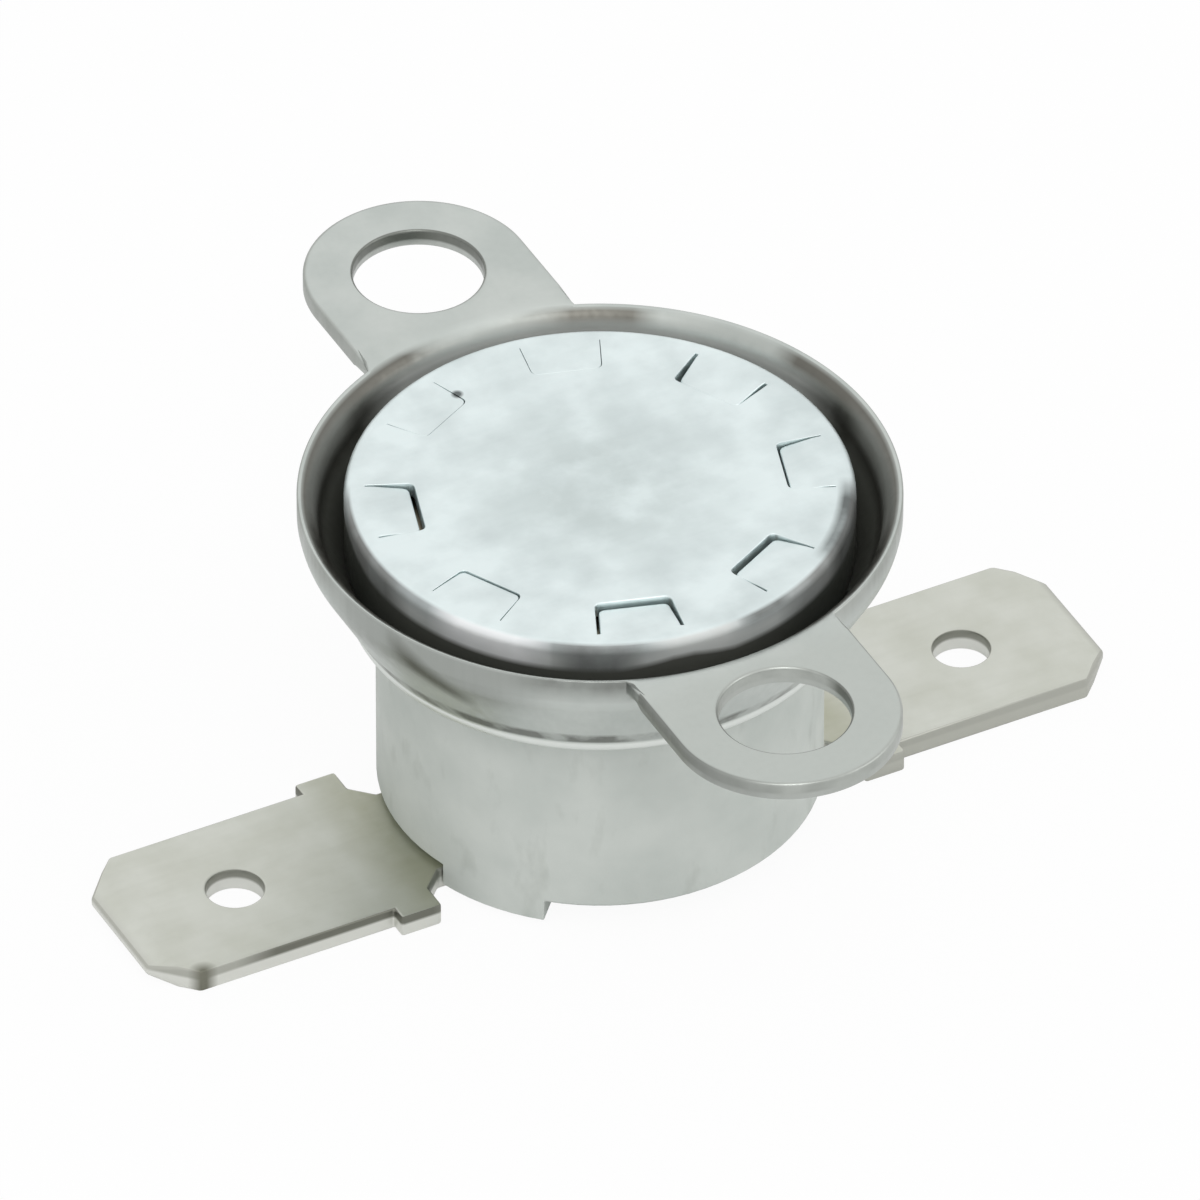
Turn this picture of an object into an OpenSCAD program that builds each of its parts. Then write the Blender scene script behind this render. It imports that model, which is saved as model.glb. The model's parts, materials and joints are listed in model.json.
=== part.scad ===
// Snap-disc thermal cutout with a cup bracket, ceramic base and two push-on tabs.
// Millimetres. The origin is the centre of the sensing face, +Z points out of the face,
// the tabs lie along X and the bracket's ears along Y.

/* [Sensing cap] */
// Outer diameter of the cap
cap_d = 15.8; // [15.4:0.1:16.2]
// Sheet thickness of the cap
cap_sheet = 0.5; // [0.4:0.05:0.6]
// Outside radius of the edge round the face
cap_edge_r = 0.35; // [0.3:0.05:0.7]
// How far the lower edge is turned in under the flange
crimp_turn = 0.75; // [0.6:0.05:0.85]
// Number of lanced tongues round the face
lance_n = 8; // [4:1:10]
// Width of a tongue
lance_w = 2.5; // [1.8:0.05:2.8]
// Depth that a tongue's inner end is pressed down
lance_drop = 0.35; // [0.3:0.05:0.5]
// Width of the sheared slot round a tongue
lance_slot = 0.12; // [0.06:0.02:0.2]
// Angle of the first tongue from +X
lance_turn = -17.5; // [-22:0.5:22]

/* [Snap disc and guide] */
// Diameter of the snap disc
disc_d = 13.0; // [12.6:0.1:13.4]
// Thickness of the snap disc
disc_t = 0.25; // [0.15:0.05:0.35]
// Height of the disc's dome
disc_dome = 0.25; // [0.15:0.05:0.3]
// Thickness of the guide plate at its rim
plate_t = 1.05; // [0.95:0.05:1.2]
// Depth of the recess under the disc
recess_depth = 0.45; // [0.35:0.05:0.55]
// Width of the rim that carries the disc
disc_ledge = 0.6; // [0.4:0.05:0.8]
// Diameter of the boss round the pin
boss_d = 4.4; // [3.6:0.1:5]
// Height of the boss under the plate
boss_h = 1.8; // [1:0.1:2.5]
// Diameter of the transfer pin
pin_d = 1.6; // [1.2:0.1:2]
// Radius of the flat on each end of the pin
pin_nose_r = 0.25; // [0.15:0.05:0.35]

/* [Mounting bracket] */
// Sheet thickness of the bracket
bracket_sheet = 0.6; // [0.5:0.05:0.7]
// Width of the groove between cap and bracket
groove_w = 0.85; // [0.7:0.05:0.95]
// How far the ears lie below the sensing face
face_step = 0.1; // [0:0.05:0.2]
// Angle of the tapered wall from upright
taper_angle = 29; // [26:0.5:32]
// Outside radius of the bend between mouth and taper
cup_bend_r = 1.5; // [1.2:0.1:1.8]
// Radius of the bead at the lower edge
bead_r = 0.28; // [0.2:0.02:0.32]
// Width of an ear
ear_w = 7.2; // [6.4:0.1:8]
// Distance between the ears' holes
ear_pitch = 24.4; // [23.6:0.1:28]
// Diameter of an ear's hole
ear_hole_d = 4.1; // [3.2:0.1:4.5]
// Inside radius of the bend at an ear's root
ear_bend_r = 0.4; // [0.2:0.05:0.5]

/* [Base] */
// Diameter of the ceramic body
body_d = 13.9; // [13.6:0.1:14.1]
// Depth from the sensing face to the underside of the body
body_depth = 11.2; // [10.8:0.1:13]
// Wall thickness of the contact chamber
wall_t = 1.35; // [1.2:0.05:1.45]
// Thickness of the chamber floor
floor_t = 1.8; // [1.5:0.1:2.2]
// Thickness of the flange's upright rim
flange_rim = 0.1; // [0.05:0.05:0.3]
// Chamfer round the underside of the body
body_chamfer = 0.2; // [0.1:0.05:0.4]
// Height of a lug under the body
lug_h = 0.6; // [0.3:0.05:0.7]
// Radial width of a lug
lug_w = 1.8; // [1.2:0.1:2.4]
// Angle from the tab's line at which a lug ends
lug_end_angle = 48; // [40:1:60]

/* [Terminals] */
// Width of a tab's blade
tab_w = 6.3; // [4.8:0.1:6.5]
// Thickness of a terminal
tab_t = 0.8; // [0.8:0.05:1]
// Length of the blade from its shoulder to its tip
tab_len = 7.95; // [7:0.05:9]
// Chamfer of the blade's corners in plan
tab_chamfer = 1.25; // [0.8:0.05:1.6]
// Length of the bevel at the blade's tip
bevel_len = 0.75; // [0.4:0.05:1]
// Depth of the bevel at the blade's tip
bevel_depth = 0.25; // [0.15:0.05:0.3]
// Diameter of the lock hole
lock_hole_d = 1.8; // [1.4:0.1:2]
// Distance from the lock hole's centre to the tip
lock_hole_inset = 4.03; // [3.6:0.01:4.4]
// Length of the shoulder
shoulder_len = 1.4; // [1:0.1:1.8]
// How far the shoulder stands out beside the blade
shoulder_step = 0.5; // [0.3:0.05:0.7]
// Distance from the body to the shoulder
shoulder_gap = 0.45; // [0.3:0.05:0.8]
// Width of the neck under the body
neck_w = 4.2; // [3.8:0.1:4.6]
// Length over which the neck widens to the shoulder
throat_len = 0.65; // [0.4:0.05:0.8]

/* [Contacts and rivets] */
// Distance from the chamber's wall to the axis of a terminal rivet
rivet_inset = 1.6; // [1.5:0.05:1.7]
// Diameter of a rivet's shank
rivet_d = 1.8; // [1.6:0.1:2]
// Diameter of a rivet's head
rivet_head_d = 2.5; // [2.3:0.1:2.7]
// Diameter of a rivet's set end in the terminal
rivet_set_d = 2.8; // [2.4:0.1:3.2]
// Height of a rivet's head
rivet_head_h = 0.35; // [0.3:0.05:0.4]
// Height of the bush under the arm
spacer_h = 1.45; // [1.4:0.05:1.8]
// Thickness of the contact arm
arm_t = 0.2; // [0.15:0.05:0.25]
// Width of the contact arm
arm_w = 2.8; // [2.6:0.1:3]
// Angle that the arm swings through when the contacts open
arm_swing = 5.2; // [4:0.1:5.4]
// Distance from the chamber's wall to the axis of the contacts
contact_inset = 2.2; // [2.1:0.05:2.4]
// Diameter of a contact
contact_d = 2.2; // [1.8:0.1:2.4]
// Diameter of a contact's shank
contact_shank_d = 1.1; // [0.9:0.1:1.3]
// Diameter of a contact's set tail
contact_tail_d = 1.7; // [1.4:0.1:1.8]
// Thickness of a contact
contact_t = 0.42; // [0.35:0.01:0.5]
// Thickness of the fixed contact's strip
strip_t = 0.3; // [0.2:0.05:0.35]
// Width of the fixed contact's strip
strip_w = 2.6; // [2.4:0.1:2.8]
// Clearance between the strip's upright and the chamber's wall
strip_wall_gap = 0.18; // [0.12:0.02:0.3]

/* [Hidden] */
$fn = 96;

// Clearance between pieces that fit into each other
fit = 0.05;
// Overlap that joins or cuts pieces cleanly
eps = 0.05;
// Steps of a bend drawn by formula
bend_steps = 6;
// Steps of the round end of a terminal
eye_steps = 24;

cap_r = cap_d / 2;
cap_bore_r = cap_r - cap_sheet;
body_r = body_d / 2;
chamber_r = body_r - wall_t;
disc_r = disc_d / 2;
pin_r = pin_d / 2;

// Heights, from the sensing face downwards
disc_top_z = -(cap_sheet + lance_drop + fit);
plate_top_z = disc_top_z - disc_t;
flange_top_z = plate_top_z - plate_t;
crimp_z = flange_top_z - flange_rim;
body_bottom_z = -body_depth;
chamber_floor_z = body_bottom_z + floor_t;
terminal_bottom_z = body_bottom_z - tab_t;

// Tongues end a little inside the disc's rim, and their slots end inside the cap's wall
lance_over = 0.7;
lance_root = 0.1;
lance_in_r = disc_r - lance_over;
lance_reach = min(cap_bore_r - lance_root, cap_r - cap_edge_r);
lance_out_r = sqrt(pow(lance_reach, 2) - pow(lance_w / 2 + lance_slot, 2));

// The crimp's inner and outer cones run parallel to the flange's underside
flange_r = cap_bore_r - fit;
neck_r = flange_r - crimp_turn;
crimp_angle = 37;
crimp_end_z = crimp_z - crimp_turn / tan(crimp_angle);
crimp_corner_z = crimp_z - cap_sheet * tan(crimp_angle / 2);
crimp_skin = cap_sheet / cos(crimp_angle);
neck_relief = 0.05;

// The bracket nests round the crimp's corner and closes in on the body
nest_clear = 0.07;
mouth_top_z = -face_step;
mouth_in_r = cap_r + groove_w;
mouth_out_r = mouth_in_r + bracket_sheet;
cup_bend_in_r = cup_bend_r - bracket_sheet;
taper_meet_z = crimp_corner_z + (groove_w - nest_clear) / tan(taper_angle);
bend_x = mouth_out_r - cup_bend_r;
lip_bottom_z = taper_meet_z + cup_bend_in_r * tan(taper_angle / 2);

// The bend out to the ears runs on smoothly from the bend above the taper
ear_root_r = ear_bend_r + bracket_sheet;
root_z = mouth_top_z - ear_root_r;
root_reach = cup_bend_in_r + ear_root_r;
sway = asin((lip_bottom_z - root_z) / root_reach);
root_x = bend_x + root_reach * cos(sway);

foot_in_r = body_r + fit;
foot_z = crimp_corner_z - (cap_r + nest_clear - foot_in_r) / tan(taper_angle);
foot_out_r = foot_in_r + bracket_sheet / cos(taper_angle);

// Terminals and their rivets
rivet_x = chamber_r - rivet_inset;
rivet_r = rivet_d / 2;
rivet_hole_r = rivet_r + fit;
rivet_head_r = rivet_head_d / 2;
rivet_set_r = rivet_set_d / 2;
rivet_set_h = 0.5;
shoulder_x = body_r + shoulder_gap;
blade_x = shoulder_x + shoulder_len;
tip_x = blade_x + tab_len;

// Contacts, from the chamber floor upwards
contact_reach = chamber_r - contact_inset;
strip_corner_x = contact_reach + strip_w / 2;
strip_side = sqrt(pow(chamber_r - strip_wall_gap, 2) - pow(strip_corner_x, 2));
arm_tail_r = arm_w / 2;
swing_margin = 0.03;
swing_clear = rivet_head_r * sin(arm_swing) + swing_margin;
arm_bottom_z = chamber_floor_z + spacer_h + swing_clear;
arm_top_z = arm_bottom_z + arm_t;
contact_z = arm_top_z + contact_t;
strip_bottom_z = contact_z + contact_t;
strip_top_z = strip_bottom_z + strip_t;
contact_r = contact_d / 2;
contact_shank_r = contact_shank_d / 2;
contact_tail_r = contact_tail_d / 2;
contact_tail_h = 0.1;
contact_bevel = 0.14;
strip_bend_in_r = 0.2;
strip_over = 0.2;
pin_arm_clear = 0.03;
pin_bottom_z = arm_top_z + pin_arm_clear;
pin_top_z = disc_top_z + disc_dome - disc_t - fit;

cap_colour = [0.86, 0.90, 0.91];
bracket_colour = [0.70, 0.73, 0.71];
ceramic_colour = [0.75, 0.78, 0.75];
tab_colour = [0.76, 0.76, 0.70];
brass_colour = [0.80, 0.68, 0.38];
copper_colour = [0.80, 0.55, 0.38];
silver_colour = [0.85, 0.85, 0.83];
disc_colour = [0.68, 0.64, 0.56];

// Points along an arc in a profile, from angle a to angle b
function arc(x, y, r, a, b, steps = bend_steps) =
    [for (i = [0:steps]) let (t = a + (b - a) * i / steps) [x + r * cos(t), y + r * sin(t)]];

// Extrudes a profile drawn in Y and Z along X
module along_x(x0, x1) {
    translate([x0, 0, 0]) rotate([90, 0, 90]) linear_extrude(x1 - x0) children();
}

// Drawn shell of the cap with its lower edge turned in
module cap_shell() {
    inner_edge_r = max(cap_edge_r - cap_sheet, 0.05);
    rotate_extrude() polygon(concat(
        [[0, 0]],
        arc(cap_r - cap_edge_r, -cap_edge_r, cap_edge_r, 90, 0),
        [[cap_r, crimp_corner_z],
         [neck_r + fit + crimp_skin, crimp_end_z],
         [neck_r + fit, crimp_end_z],
         [cap_bore_r, crimp_z]],
        arc(cap_bore_r - inner_edge_r, -cap_sheet - inner_edge_r, inner_edge_r, 0, 90),
        [[0, -cap_sheet]]
    ));
}

// Slot that is sheared round one tongue
module lance_window() {
    side = lance_w / 2 + lance_slot;
    translate([lance_in_r - lance_slot, -side, -cap_sheet - eps])
        cube([lance_out_r - lance_in_r + lance_slot, 2 * side, cap_sheet + 2 * eps]);
}

// One tongue, hinged at the cap's edge and pressed down at its inner end
module lance() {
    translate([0, lance_w / 2, 0]) rotate([90, 0, 0]) linear_extrude(lance_w) polygon([
        [lance_out_r + eps, 0],
        [lance_out_r, 0],
        [lance_in_r, -lance_drop],
        [lance_in_r, -lance_drop - cap_sheet],
        [lance_out_r, -cap_sheet],
        [lance_out_r + eps, -cap_sheet]
    ]);
}

module sensing_cap() color(cap_colour) {
    difference() {
        cap_shell();
        for (i = [0:lance_n - 1]) rotate(lance_turn + i * 360 / lance_n) lance_window();
    }
    for (i = [0:lance_n - 1]) rotate(lance_turn + i * 360 / lance_n) lance();
}

function all_but_last(points) = [for (i = [0:len(points) - 2]) points[i]];

// Section of the bracket's sheet: brim, shoulder, bend, taper and lower edge
module cup_profile() {
    brim_r = ear_pitch / 2 + ear_w;
    polygon(concat(
        arc(root_x, root_z, ear_root_r, 180 - sway, 90),
        [[brim_r, mouth_top_z], [brim_r, mouth_top_z - bracket_sheet]],
        all_but_last(arc(root_x, root_z, ear_bend_r, 90, 180 - sway)),
        arc(bend_x, lip_bottom_z, cup_bend_r, -sway, -taper_angle),
        [[foot_out_r, foot_z], [foot_in_r, foot_z]],
        all_but_last(arc(bend_x, lip_bottom_z, cup_bend_in_r, -taper_angle, -sway))
    ));
}

// Outline of the bracket in plan: the brim is trimmed flush with the wall between its two ears
module bracket_plan() {
    difference() {
        union() {
            circle(mouth_out_r);
            translate([-ear_w / 2, -ear_pitch / 2]) square([ear_w, ear_pitch]);
            for (side = [-1, 1]) translate([0, side * ear_pitch / 2]) circle(d = ear_w);
        }
        for (side = [-1, 1]) translate([0, side * ear_pitch / 2]) circle(d = ear_hole_d);
    }
}

module mounting_bracket() color(bracket_colour) {
    bead_x = foot_out_r - bead_r / 4;
    intersection() {
        rotate_extrude() cup_profile();
        translate([0, 0, foot_z - eps]) linear_extrude(mouth_top_z - foot_z + 2 * eps) bracket_plan();
    }
    rotate_extrude() translate([bead_x, foot_z + bead_r]) circle(bead_r, $fn = 32);
}

// Dished disc, drawn as two arcs of one dome radius
module bimetal_disc() color(disc_colour) {
    dome_r = (disc_r * disc_r + disc_dome * disc_dome) / (2 * disc_dome);
    rim_angle = asin(disc_r / dome_r);
    top_z = disc_top_z + disc_dome - dome_r;
    rotate_extrude() polygon(concat(
        arc(0, top_z, dome_r, 90, 90 - rim_angle),
        arc(0, top_z - disc_t, dome_r, 90 - rim_angle, 90)
    ));
}

module guide_plate() color(ceramic_colour) {
    plate_r = cap_bore_r - fit;
    recess_r = disc_r - disc_ledge;
    bore_r = pin_r + fit;
    rotate_extrude() polygon([
        [bore_r, plate_top_z - recess_depth],
        [recess_r, plate_top_z - recess_depth],
        [recess_r, plate_top_z],
        [plate_r, plate_top_z],
        [plate_r, flange_top_z],
        [boss_d / 2, flange_top_z],
        [boss_d / 2, flange_top_z - boss_h],
        [bore_r, flange_top_z - boss_h]
    ]);
}

module transfer_pin() color(ceramic_colour) {
    nose_h = pin_r - pin_nose_r;
    rotate_extrude() polygon([
        [0, pin_top_z],
        [pin_nose_r, pin_top_z],
        [pin_r, pin_top_z - nose_h],
        [pin_r, pin_bottom_z + nose_h],
        [pin_nose_r, pin_bottom_z],
        [0, pin_bottom_z]
    ]);
}

// Half of the lug's plan: it runs beside the terminal's neck, along the body's edge
module lug_plan() {
    beside_neck = neck_w / 2 + fit;
    intersection() {
        difference() {
            circle(body_r);
            circle(body_r - lug_w);
        }
        polygon([
            [beside_neck / tan(lug_end_angle), beside_neck],
            [body_d, beside_neck],
            [body_d * cos(lug_end_angle), body_d * sin(lug_end_angle)]
        ]);
    }
}

module base() color(ceramic_colour) {
    shoulder_z = crimp_end_z - neck_relief;
    difference() {
        rotate_extrude() polygon([
            [0, chamber_floor_z],
            [chamber_r, chamber_floor_z],
            [chamber_r, flange_top_z],
            [flange_r, flange_top_z],
            [flange_r, crimp_z],
            [neck_r, crimp_end_z],
            [neck_r, shoulder_z],
            [body_r, shoulder_z - (body_r - neck_r)],
            [body_r, body_bottom_z + body_chamfer],
            [body_r - body_chamfer, body_bottom_z],
            [0, body_bottom_z]
        ]);
        for (x = [-rivet_x, rivet_x]) translate([x, 0, body_bottom_z - eps])
            cylinder(r = rivet_hole_r, h = floor_t + 2 * eps);
    }
    for (side = [0, 180]) rotate(side) translate([0, 0, body_bottom_z - lug_h])
        linear_extrude(lug_h + body_chamfer) lug_plan();
}

// Stamped outline of a terminal that points along +X
module terminal_plan() {
    blade = tab_w / 2;
    shoulder = blade + shoulder_step;
    neck = neck_w / 2;
    throat_x = shoulder_x - throat_len;
    throat = neck + throat_len;
    flank = [
        [throat_x, neck], [shoulder_x, throat], [shoulder_x, shoulder], [blade_x, shoulder],
        [blade_x, blade], [tip_x - tab_chamfer, blade], [tip_x, blade - tab_chamfer]
    ];
    other_flank = [for (i = [len(flank) - 1:-1:0]) [flank[i].x, -flank[i].y]];
    polygon(concat(flank, other_flank, arc(rivet_x, 0, neck, 270, 90, eye_steps)));
}

// Side view of a terminal: a flat strip with a bevel on both faces at the tip
module terminal_side() {
    polygon([
        [0, body_bottom_z], [tip_x - bevel_len, body_bottom_z], [tip_x, body_bottom_z - bevel_depth],
        [tip_x, terminal_bottom_z + bevel_depth], [tip_x - bevel_len, terminal_bottom_z],
        [0, terminal_bottom_z]
    ]);
}

module terminal() {
    difference() {
        intersection() {
            translate([0, 0, terminal_bottom_z - eps]) linear_extrude(tab_t + 2 * eps) terminal_plan();
            translate([0, tab_w, 0]) rotate([90, 0, 0]) linear_extrude(2 * tab_w) terminal_side();
        }
        translate([tip_x - lock_hole_inset, 0, terminal_bottom_z - eps])
            cylinder(d = lock_hole_d, h = tab_t + 2 * eps);
        translate([rivet_x, 0, terminal_bottom_z - eps]) cylinder(r = rivet_hole_r, h = tab_t + 2 * eps);
        translate([rivet_x, 0, terminal_bottom_z])
            cylinder(r1 = rivet_set_r + fit, r2 = rivet_hole_r, h = rivet_set_h);
    }
}

module terminal_left() color(tab_colour) rotate(180) terminal();

module terminal_right() color(tab_colour) terminal();

// Rivet with its head inside and its end set flush into the terminal
module terminal_rivet(seat_z) {
    head_chamfer = rivet_head_h / 2;
    rotate_extrude() polygon([
        [0, seat_z + rivet_head_h],
        [rivet_head_r - head_chamfer, seat_z + rivet_head_h],
        [rivet_head_r, seat_z + rivet_head_h - head_chamfer],
        [rivet_head_r, seat_z],
        [rivet_r, seat_z],
        [rivet_r, terminal_bottom_z + rivet_set_h],
        [rivet_set_r, terminal_bottom_z],
        [0, terminal_bottom_z]
    ]);
}

module terminal_rivet_left() color(brass_colour)
    translate([-rivet_x, 0, 0]) terminal_rivet(chamber_floor_z + strip_t);

module terminal_rivet_right() color(brass_colour)
    translate([rivet_x, 0, 0]) terminal_rivet(arm_top_z + swing_clear);

module arm_spacer() color(brass_colour) translate([rivet_x, 0, chamber_floor_z]) difference() {
    cylinder(r = rivet_head_r, h = spacer_h);
    translate([0, 0, -eps]) cylinder(r = rivet_hole_r, h = spacer_h + 2 * eps);
}

// Spring leaf with round ends, holed for the rivet and for its contact
module contact_arm() color(copper_colour) translate([0, 0, arm_bottom_z]) linear_extrude(arm_t) difference() {
    union() {
        translate([-contact_reach, -arm_tail_r]) square([contact_reach + rivet_x, arm_w]);
        translate([-contact_reach, 0]) circle(arm_tail_r);
        translate([rivet_x, 0]) circle(arm_tail_r);
    }
    translate([rivet_x, 0]) circle(rivet_hole_r + fit);
    translate([-contact_reach, 0]) circle(contact_shank_r + fit);
}

// Contact rivet: a flat head with a bevelled rim, a shank and a set tail
module contact_rivet(carrier_t) {
    rotate_extrude() polygon([
        [0, contact_t],
        [contact_r - contact_bevel, contact_t],
        [contact_r, contact_t - contact_bevel],
        [contact_r, 0],
        [contact_shank_r, 0],
        [contact_shank_r, -carrier_t],
        [contact_tail_r, -carrier_t],
        [contact_tail_r, -carrier_t - contact_tail_h],
        [0, -carrier_t - contact_tail_h]
    ]);
}

module moving_contact() color(silver_colour)
    translate([-contact_reach, 0, arm_top_z]) contact_rivet(arm_t);

module fixed_contact() color(silver_colour)
    translate([-contact_reach, 0, strip_bottom_z]) mirror([0, 0, 1]) contact_rivet(strip_t);

// Strip that stands on the floor beside the arm and reaches over its end
module fixed_contact_plate() color(brass_colour) {
    bend_r = strip_t + strip_bend_in_r;
    bend_y = strip_side - bend_r;
    reach = -contact_r - strip_over;
    difference() {
        union() {
            along_x(-strip_corner_x, strip_w - strip_corner_x) polygon(concat(
                [[reach, chamber_floor_z]],
                arc(bend_y, chamber_floor_z + bend_r, bend_r, -90, 0),
                arc(bend_y, strip_top_z - bend_r, bend_r, 0, 90),
                [[reach, strip_top_z], [reach, strip_bottom_z]],
                arc(bend_y, strip_top_z - bend_r, strip_bend_in_r, 90, 0),
                arc(bend_y, chamber_floor_z + bend_r, strip_bend_in_r, 0, -90),
                [[reach, chamber_floor_z + strip_t]]
            ));
            translate([-rivet_x, 0, chamber_floor_z]) cylinder(r = rivet_head_r, h = strip_t);
        }
        translate([-rivet_x, 0, chamber_floor_z - eps]) cylinder(r = rivet_hole_r, h = strip_t + 2 * eps);
        translate([-contact_reach, 0, strip_bottom_z - eps])
            cylinder(r = contact_shank_r + fit, h = strip_t + 2 * eps);
    }
}

sensing_cap();
mounting_bracket();
bimetal_disc();
guide_plate();
transfer_pin();
base();
contact_arm();
moving_contact();
fixed_contact();
fixed_contact_plate();
arm_spacer();
terminal_left();
terminal_right();
terminal_rivet_left();
terminal_rivet_right();
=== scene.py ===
import json
import math

import bmesh
import bpy
from mathutils import Matrix, Vector
from mathutils.geometry import tessellate_polygon


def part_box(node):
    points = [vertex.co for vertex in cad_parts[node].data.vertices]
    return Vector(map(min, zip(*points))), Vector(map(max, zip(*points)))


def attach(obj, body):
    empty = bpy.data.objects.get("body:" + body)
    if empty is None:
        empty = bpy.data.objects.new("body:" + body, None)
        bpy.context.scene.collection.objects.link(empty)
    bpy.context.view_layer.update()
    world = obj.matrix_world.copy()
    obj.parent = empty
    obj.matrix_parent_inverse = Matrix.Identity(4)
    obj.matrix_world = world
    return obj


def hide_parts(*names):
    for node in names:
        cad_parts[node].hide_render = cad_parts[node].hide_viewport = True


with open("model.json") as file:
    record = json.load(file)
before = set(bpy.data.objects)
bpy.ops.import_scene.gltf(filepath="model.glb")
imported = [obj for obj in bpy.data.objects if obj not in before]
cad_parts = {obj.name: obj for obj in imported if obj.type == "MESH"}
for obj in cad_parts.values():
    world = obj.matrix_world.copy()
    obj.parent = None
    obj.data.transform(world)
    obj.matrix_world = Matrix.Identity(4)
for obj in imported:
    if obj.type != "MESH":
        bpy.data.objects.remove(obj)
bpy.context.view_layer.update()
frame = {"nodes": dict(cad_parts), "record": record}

bpy.context.scene.view_settings.view_transform = "Standard"
MM = 0.001


# Sizes in millimetres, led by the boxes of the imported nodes
def box_mm(node):
    low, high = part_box(node)
    return low / MM, high / MM


CAP_LOW, CAP_HIGH = box_mm("sensing_cap")
BRACKET_LOW, BRACKET_HIGH = box_mm("mounting_bracket")
BASE_HIGH = box_mm("base")[1]
DISC_HIGH = box_mm("bimetal_disc")[1]
TAB_LOW = box_mm("terminal_right")[0]

CAP_R = CAP_HIGH.x
CAP_SHEET = 0.5
CAP_EDGE_R = 0.35
CAP_INNER_EDGE_R = 0.05
# The lower edge of the cap, turned in under the flange of the base
CRIMP_ANGLE = math.radians(37)
CRIMP_REACH = 0.7
CRIMP_END_R = BASE_HIGH.x - CRIMP_REACH
CRIMP_END_Z = CAP_LOW.z
CRIMP_INNER_Z = -2.3
CRIMP_BEND_R = 0.5
CRIMP_INNER_BEND_R = 0.1
CRIMP_EDGE_R = 0.08

# The tongues, which reach in over the rim of the disc
LANCE_TURN = math.radians(-17.5)
LANCE_REACH = 0.7
LANCE_IN_R = DISC_HIGH.x - LANCE_REACH
LANCE_HALF_W = 1.25
LANCE_TIP_HALF_W = 1.08
LANCE_CORNER_R = 0.2
LANCE_SLOT = 0.12
LANCE_OFF_WALL = 0.1
LANCE_OUT_R = math.sqrt((CAP_R - CAP_SHEET - LANCE_OFF_WALL) ** 2 - (LANCE_HALF_W + LANCE_SLOT) ** 2)
# Share of a tongue's length over which it bends
LANCE_BEND = 0.25
# Share of a slot's width that its rolled edges take, and the most that this width counts against its sides'
LANCE_ROLL = 0.4
LANCE_SIDE_LIMIT = 1.5
# Counterclockwise from the first tongue: how far its inner end is pressed down, and the width of its slot
# at that end and along the sides
LANCES = [
    (0.17, 0.1, 0.05), (0.2, 0.14, 0.11), (0.03, 0.03, 0.02), (0.03, 0.03, 0.02), (0.15, 0.17, 0.06),
    (0.05, 0.05, 0.03), (0.16, 0.14, 0.1), (0.14, 0.17, 0.06),
]

# The bracket's cup, from its mouth down to the foot that holds the base
BRACKET_SHEET = 0.6
MOUTH_OUT_R = BRACKET_HIGH.x
MOUTH_TOP_Z = BRACKET_HIGH.z
CUP_BEND_R = 1.5
BEND_X = MOUTH_OUT_R - CUP_BEND_R
LIP_BOTTOM_Z = -0.827
TAPER = math.radians(29)
FOOT_Z = BRACKET_LOW.z
FOOT_IN_R = 7.0
FOOT_CHAMFER = 0.06
BEAD_R = 0.28
CREASE_R = 0.05
# The ears, and the bend through which they leave the mouth
EAR_HALF_W = 3.6
EAR_Y = BRACKET_HIGH.y - EAR_HALF_W
EAR_HOLE_R = 2.05
EAR_BEND_R = 0.4
EAR_ROLL = 0.1
EAR_BURR = 0.05
ROOT_BEND = BRACKET_SHEET + EAR_BEND_R
ROOT_Z = MOUTH_TOP_Z - ROOT_BEND
ROOT_REACH = CUP_BEND_R - BRACKET_SHEET + ROOT_BEND
SWAY = math.asin((LIP_BOTTOM_Z - ROOT_Z) / ROOT_REACH)
ROOT_R = BEND_X + ROOT_REACH * math.cos(SWAY)

FLOOR_Z = TAB_LOW.z
LOCK_HOLE_X = 12.72
BASE_EDGE = 0.08
TAB_EDGE = 0.18
RIVET_EDGE = 0.04
# Width of the flat strip that keeps a rounded edge from shading the flat face beside it
FLAT_STRIP = 0.04


# Outlines and edges
def arc(x, y, r, start, end, steps):
    """Points of an arc, from the angle start to the angle end, in degrees."""
    turns = [math.radians(start + (end - start) * i / steps) for i in range(steps + 1)]
    return [(x + r * math.cos(t), y + r * math.sin(t)) for t in turns]


def rounded(corners, steps=3):
    """A closed outline of (x, y, radius) corners, each drawn as an arc of its radius."""
    longest_reach = 0.49
    points = []
    for i, (x, y, r) in enumerate(corners):
        here = Vector((x, y))
        back = Vector(corners[i - 1][:2]) - here
        ahead = Vector(corners[(i + 1) % len(corners)][:2]) - here
        if r == 0:
            points.append((x, y))
            continue
        half = back.angle(ahead) / 2
        reach = min(r / math.tan(half), back.length * longest_reach, ahead.length * longest_reach)
        centre = here + (back.normalized() + ahead.normalized()).normalized() * reach / math.cos(half)
        first = here + back.normalized() * reach - centre
        last = here + ahead.normalized() * reach - centre
        turn = first.angle_signed(last)
        for k in range(steps + 1):
            spoke = first.copy()
            spoke.rotate(Matrix.Rotation(-turn * k / steps, 2))
            points.append(tuple(centre + spoke))
    return points


def grown(outline, amount):
    """A closed counterclockwise outline, moved outwards by amount."""
    result = []
    for i, (x, y) in enumerate(outline):
        here = Vector((x, y))
        back = (here - Vector(outline[i - 1])).normalized()
        ahead = (Vector(outline[(i + 1) % len(outline)]) - here).normalized()
        normal_a = Vector((back.y, -back.x))
        normal_b = Vector((ahead.y, -ahead.x))
        mitre = (normal_a + normal_b) / (1 + normal_a.dot(normal_b))
        result.append(tuple(here + mitre * amount))
    return result


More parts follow.
